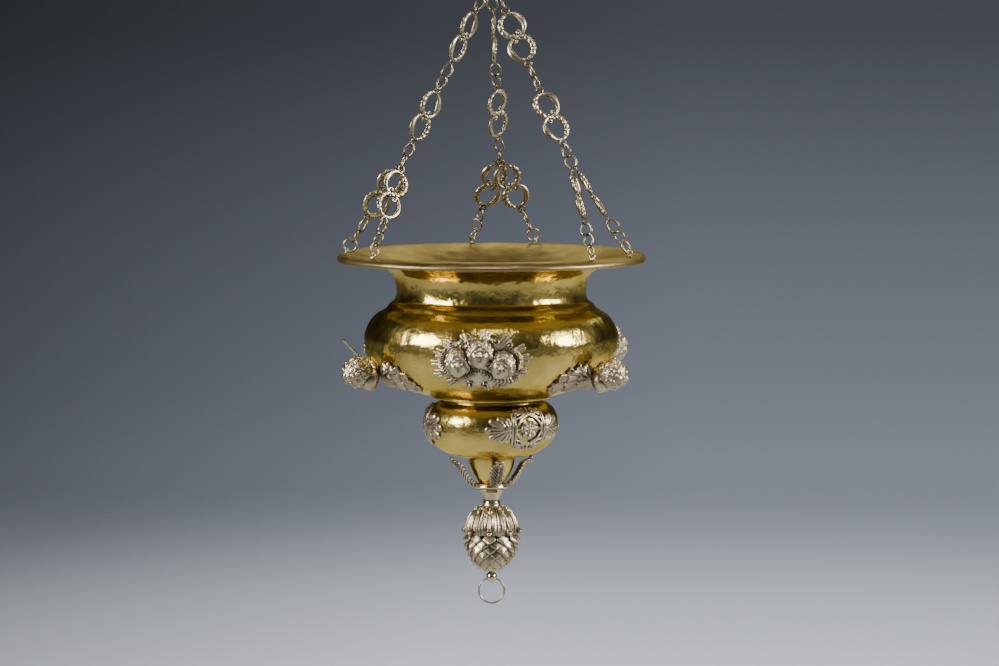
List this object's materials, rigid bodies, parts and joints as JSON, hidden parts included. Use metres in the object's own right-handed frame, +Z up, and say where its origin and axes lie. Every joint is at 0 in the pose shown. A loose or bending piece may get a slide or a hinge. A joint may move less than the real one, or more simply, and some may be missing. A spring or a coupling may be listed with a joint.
{
  "type": "hanging church lamp",
  "caption": "Hanging open brass bowl lamp or censer with turned lower bulb, pine-cone finial, cast cherub ornaments and openwork chains meeting at a ring.",
  "frame": {"origin": "hang point: the inside top of the suspension ring", "axes": "+Z up along the lamp's axis, -Y towards the front plaque"},
  "size_m": [0.27, 0.2753, 0.5882],
  "materials": {
    "spun_brass": "polished, lightly hammered",
    "pan_brass": "dull, heat marked",
    "rod_brass": "turned",
    "chain_silver": "silvered, worn to pale brass",
    "strap_silver": "rolled strip, silvered",
    "cast_silver": "silvered casting, aged in the recesses"
  },
  "bodies": {
    "suspension": {"suspension_ring": "chain_silver"},
    "gathering": {"gathering_ring": "chain_silver"},
    "lamp": {"rim_and_neck": "spun_brass", "bowl": "spun_brass", "base_moulding": "spun_brass", "lower_bulb": "spun_brass", "cherub_trio_plaque_1": "cast_silver", "cherub_trio_plaque_2": "cast_silver", "cherub_trio_plaque_3": "cast_silver", "winged_cherub_1": "cast_silver", "winged_cherub_2": "cast_silver", "winged_cherub_3": "cast_silver", "strap_tab_1": "strap_silver", "strap_tab_2": "strap_silver", "strap_tab_3": "strap_silver", "strapwork_ornament_1": "cast_silver", "strapwork_ornament_2": "cast_silver", "strapwork_ornament_3": "cast_silver", "leaf_calyx": "cast_silver", "finial_collar": "cast_silver", "pine_cone": "cast_silver", "end_ball": "cast_silver", "tie_rod_and_nut": "rod_brass", "ornament_pins": "cast_silver", "rim_eyes": "chain_silver"},
    "pull_ring_body": {"pull_ring": "chain_silver"},
    "fire_pan_body": {"fire_pan": "pan_brass"},
    "right_top_s_link_body": {"right_top_s_link": "chain_silver"},
    "right_upper_openwork_link_body": {"right_upper_openwork_link": "chain_silver"},
    "right_upper_s_link_body": {"right_upper_s_link": "chain_silver"},
    "right_lower_openwork_link_body": {"right_lower_openwork_link": "chain_silver"},
    "right_lower_s_link_body": {"right_lower_s_link": "chain_silver"},
    "right_bridle_link_a_body": {"right_bridle_link_a": "chain_silver"},
    "right_bridle_s_link_a_body": {"right_bridle_s_link_a": "chain_silver"},
    "right_rim_ring_a_body": {"right_rim_ring_a": "chain_silver"},
    "right_bridle_link_b_body": {"right_bridle_link_b": "chain_silver"},
    "right_bridle_s_link_b_body": {"right_bridle_s_link_b": "chain_silver"},
    "right_rim_ring_b_body": {"right_rim_ring_b": "chain_silver"},
    "back_top_s_link_body": {"back_top_s_link": "chain_silver"},
    "back_upper_openwork_link_body": {"back_upper_openwork_link": "chain_silver"},
    "back_upper_s_link_body": {"back_upper_s_link": "chain_silver"},
    "back_lower_openwork_link_body": {"back_lower_openwork_link": "chain_silver"},
    "back_lower_s_link_body": {"back_lower_s_link": "chain_silver"},
    "back_bridle_link_a_body": {"back_bridle_link_a": "chain_silver"},
    "back_bridle_s_link_a_body": {"back_bridle_s_link_a": "chain_silver"},
    "back_rim_ring_a_body": {"back_rim_ring_a": "chain_silver"},
    "back_bridle_link_b_body": {"back_bridle_link_b": "chain_silver"},
    "back_bridle_s_link_b_body": {"back_bridle_s_link_b": "chain_silver"},
    "back_rim_ring_b_body": {"back_rim_ring_b": "chain_silver"},
    "left_top_s_link_body": {"left_top_s_link": "chain_silver"},
    "left_upper_openwork_link_body": {"left_upper_openwork_link": "chain_silver"},
    "left_upper_s_link_body": {"left_upper_s_link": "chain_silver"},
    "left_lower_openwork_link_body": {"left_lower_openwork_link": "chain_silver"},
    "left_lower_s_link_body": {"left_lower_s_link": "chain_silver"},
    "left_bridle_link_a_body": {"left_bridle_link_a": "chain_silver"},
    "left_bridle_s_link_a_body": {"left_bridle_s_link_a": "chain_silver"},
    "left_rim_ring_a_body": {"left_rim_ring_a": "chain_silver"},
    "left_bridle_link_b_body": {"left_bridle_link_b": "chain_silver"},
    "left_bridle_s_link_b_body": {"left_bridle_s_link_b": "chain_silver"},
    "left_rim_ring_b_body": {"left_rim_ring_b": "chain_silver"}
  },
  "joints": [
    {"name": "ring_swing", "type": "hinge", "parent": "suspension", "child": "gathering", "pos_m": [0, 0, -0.0295], "axis": [0, 1, 0], "range_deg": [-25, 25]},
    {"name": "lamp_swing", "type": "hinge", "parent": "gathering", "child": "lamp", "pos_m": [0, 0, -0.0466], "axis": [1, 0, 0], "range_deg": [-20, 20]},
    {"name": "pull_ring_swing", "type": "hinge", "parent": "lamp", "child": "pull_ring_body", "pos_m": [0, 0, -0.56202], "axis": [0.9962, 0.0872, 0], "range_deg": [-40, 40]},
    {"name": "fire_pan_lift", "type": "slide", "parent": "lamp", "child": "fire_pan_body", "axis": [0, 0, 1], "range_m": [0, 0.14]},
    {"name": "right_top_s_link_twist", "type": "hinge", "parent": "lamp", "child": "right_top_s_link_body", "pos_m": [0.0034, 0, -0.0447], "axis": [0.4062, -0.2421, -0.8812], "range_deg": [-6, 6]},
    {"name": "right_upper_openwork_link_twist", "type": "hinge", "parent": "lamp", "child": "right_upper_openwork_link_body", "pos_m": [0.0119, -0.00507, -0.06314], "axis": [0.4062, -0.2421, -0.8812], "range_deg": [-10, 10]},
    {"name": "right_upper_s_link_twist", "type": "hinge", "parent": "lamp", "child": "right_upper_s_link_body", "pos_m": [0.0344, -0.01848, -0.11196], "axis": [0.4062, -0.2421, -0.8812], "range_deg": [-10, 10]},
    {"name": "right_lower_openwork_link_twist", "type": "hinge", "parent": "lamp", "child": "right_lower_openwork_link_body", "pos_m": [0.04325, -0.02375, -0.13117], "axis": [0.4062, -0.2421, -0.8812], "range_deg": [-10, 10]},
    {"name": "right_lower_s_link_twist", "type": "hinge", "parent": "lamp", "child": "right_lower_s_link_body", "pos_m": [0.06575, -0.03717, -0.17998], "axis": [0.4062, -0.2421, -0.8812], "range_deg": [-4, 4]},
    {"name": "right_bridle_link_a_twist", "type": "hinge", "parent": "lamp", "child": "right_bridle_link_a_body", "pos_m": [0.07304, -0.04222, -0.19959], "axis": [-0.2367, 0.5134, 0.8249], "range_deg": [0, 8]},
    {"name": "right_bridle_s_link_a_twist", "type": "hinge", "parent": "lamp", "child": "right_bridle_s_link_a_body", "pos_m": [0.08615, -0.07066, -0.24529], "axis": [0.2367, -0.5134, -0.8249], "range_deg": [-10, 10]},
    {"name": "right_rim_ring_a_twist", "type": "hinge", "parent": "lamp", "child": "right_rim_ring_a_body", "pos_m": [0.09139, -0.08202, -0.26354], "axis": [0.2367, -0.5134, -0.8249], "range_deg": [-10, 10]},
    {"name": "right_bridle_link_b_twist", "type": "hinge", "parent": "lamp", "child": "right_bridle_link_b_body", "pos_m": [0.0759, -0.0425, -0.19819], "axis": [-0.5332, -0.056, 0.8441], "range_deg": [0, 8]},
    {"name": "right_bridle_s_link_b_twist", "type": "hinge", "parent": "lamp", "child": "right_bridle_s_link_b_body", "pos_m": [0.10544, -0.0394, -0.24496], "axis": [0.5332, 0.056, -0.8441], "range_deg": [-10, 10]},
    {"name": "right_rim_ring_b_twist", "type": "hinge", "parent": "lamp", "child": "right_rim_ring_b_body", "pos_m": [0.11705, -0.03818, -0.26332], "axis": [0.5332, 0.056, -0.8441], "range_deg": [-10, 10]},
    {"name": "back_top_s_link_twist", "type": "hinge", "parent": "lamp", "child": "back_top_s_link_body", "pos_m": [0, 0, -0.0453], "axis": [0, 0.4825, -0.8759], "range_deg": [-6, 6]},
    {"name": "back_upper_openwork_link_twist", "type": "hinge", "parent": "lamp", "child": "back_upper_openwork_link_body", "pos_m": [0, 0.01052, -0.06439], "axis": [0, 0.4825, -0.8759], "range_deg": [-10, 10]},
    {"name": "back_upper_s_link_twist", "type": "hinge", "parent": "lamp", "child": "back_upper_s_link_body", "pos_m": [0, 0.03725, -0.11292], "axis": [0, 0.4825, -0.8759], "range_deg": [-10, 10]},
    {"name": "back_lower_openwork_link_twist", "type": "hinge", "parent": "lamp", "child": "back_lower_openwork_link_body", "pos_m": [0, 0.04777, -0.13201], "axis": [0, 0.4825, -0.8759], "range_deg": [-10, 10]},
    {"name": "back_lower_s_link_twist", "type": "hinge", "parent": "lamp", "child": "back_lower_s_link_body", "pos_m": [0, 0.0745, -0.18054], "axis": [0, 0.4825, -0.8759], "range_deg": [-4, 4]},
    {"name": "back_bridle_link_a_twist", "type": "hinge", "parent": "lamp", "child": "back_bridle_link_a_body", "pos_m": [0.00043, 0.08351, -0.20008], "axis": [-0.3223, -0.472, 0.8206], "range_deg": [0, 8]},
    {"name": "back_bridle_s_link_a_twist", "type": "hinge", "parent": "lamp", "child": "back_bridle_s_link_a_body", "pos_m": [0.01829, 0.10966, -0.24554], "axis": [0.3223, 0.472, -0.8206], "range_deg": [-10, 10]},
    {"name": "back_rim_ring_a_twist", "type": "hinge", "parent": "lamp", "child": "back_rim_ring_a_body", "pos_m": [0.02538, 0.12004, -0.26358], "axis": [0.3223, 0.472, -0.8206], "range_deg": [-10, 10]},
    {"name": "back_bridle_link_b_twist", "type": "hinge", "parent": "lamp", "child": "back_bridle_link_b_body", "pos_m": [-0.00043, 0.08621, -0.19859], "axis": [0.3223, -0.4414, 0.8374], "range_deg": [0, 8]},
    {"name": "back_bridle_s_link_b_twist", "type": "hinge", "parent": "lamp", "child": "back_bridle_s_link_b_body", "pos_m": [-0.01829, 0.11066, -0.24498], "axis": [-0.3223, 0.4414, -0.8374], "range_deg": [-10, 10]},
    {"name": "back_rim_ring_b_twist", "type": "hinge", "parent": "lamp", "child": "back_rim_ring_b_body", "pos_m": [-0.02538, 0.12037, -0.2634], "axis": [-0.3223, 0.4414, -0.8374], "range_deg": [-10, 10]},
    {"name": "left_top_s_link_twist", "type": "hinge", "parent": "lamp", "child": "left_top_s_link_body", "pos_m": [-0.0034, 0, -0.0447], "axis": [-0.4062, -0.2421, -0.8812], "range_deg": [-6, 6]},
    {"name": "left_upper_openwork_link_twist", "type": "hinge", "parent": "lamp", "child": "left_upper_openwork_link_body", "pos_m": [-0.0119, -0.00507, -0.06314], "axis": [-0.4062, -0.2421, -0.8812], "range_deg": [-10, 10]},
    {"name": "left_upper_s_link_twist", "type": "hinge", "parent": "lamp", "child": "left_upper_s_link_body", "pos_m": [-0.0344, -0.01848, -0.11196], "axis": [-0.4062, -0.2421, -0.8812], "range_deg": [-10, 10]},
    {"name": "left_lower_openwork_link_twist", "type": "hinge", "parent": "lamp", "child": "left_lower_openwork_link_body", "pos_m": [-0.04325, -0.02375, -0.13117], "axis": [-0.4062, -0.2421, -0.8812], "range_deg": [-10, 10]},
    {"name": "left_lower_s_link_twist", "type": "hinge", "parent": "lamp", "child": "left_lower_s_link_body", "pos_m": [-0.06575, -0.03717, -0.17998], "axis": [-0.4062, -0.2421, -0.8812], "range_deg": [-4, 4]},
    {"name": "left_bridle_link_a_twist", "type": "hinge", "parent": "lamp", "child": "left_bridle_link_a_body", "pos_m": [-0.07527, -0.04097, -0.1989], "axis": [0.5425, -0.0388, 0.8392], "range_deg": [0, 8]},
    {"name": "left_bridle_s_link_a_twist", "type": "hinge", "parent": "lamp", "child": "left_bridle_s_link_a_body", "pos_m": [-0.10532, -0.03882, -0.2454], "axis": [-0.5425, 0.0388, -0.8392], "range_deg": [-10, 10]},
    {"name": "left_rim_ring_a_twist", "type": "hinge", "parent": "lamp", "child": "left_rim_ring_a_body", "pos_m": [-0.11694, -0.03799, -0.26338], "axis": [-0.5425, 0.0388, -0.8392], "range_deg": [-10, 10]},
    {"name": "left_bridle_link_b_twist", "type": "hinge", "parent": "lamp", "child": "left_bridle_link_b_body", "pos_m": [-0.07368, -0.04375, -0.19888], "axis": [0.2304, 0.4979, 0.8361], "range_deg": [0, 8]},
    {"name": "left_bridle_s_link_b_twist", "type": "hinge", "parent": "lamp", "child": "left_bridle_s_link_b_body", "pos_m": [-0.08644, -0.07133, -0.24519], "axis": [-0.2304, -0.4979, -0.8361], "range_deg": [-10, 10]},
    {"name": "left_rim_ring_b_twist", "type": "hinge", "parent": "lamp", "child": "left_rim_ring_b_body", "pos_m": [-0.09146, -0.08218, -0.26341], "axis": [-0.2304, -0.4979, -0.8361], "range_deg": [-10, 10]}
  ]
}
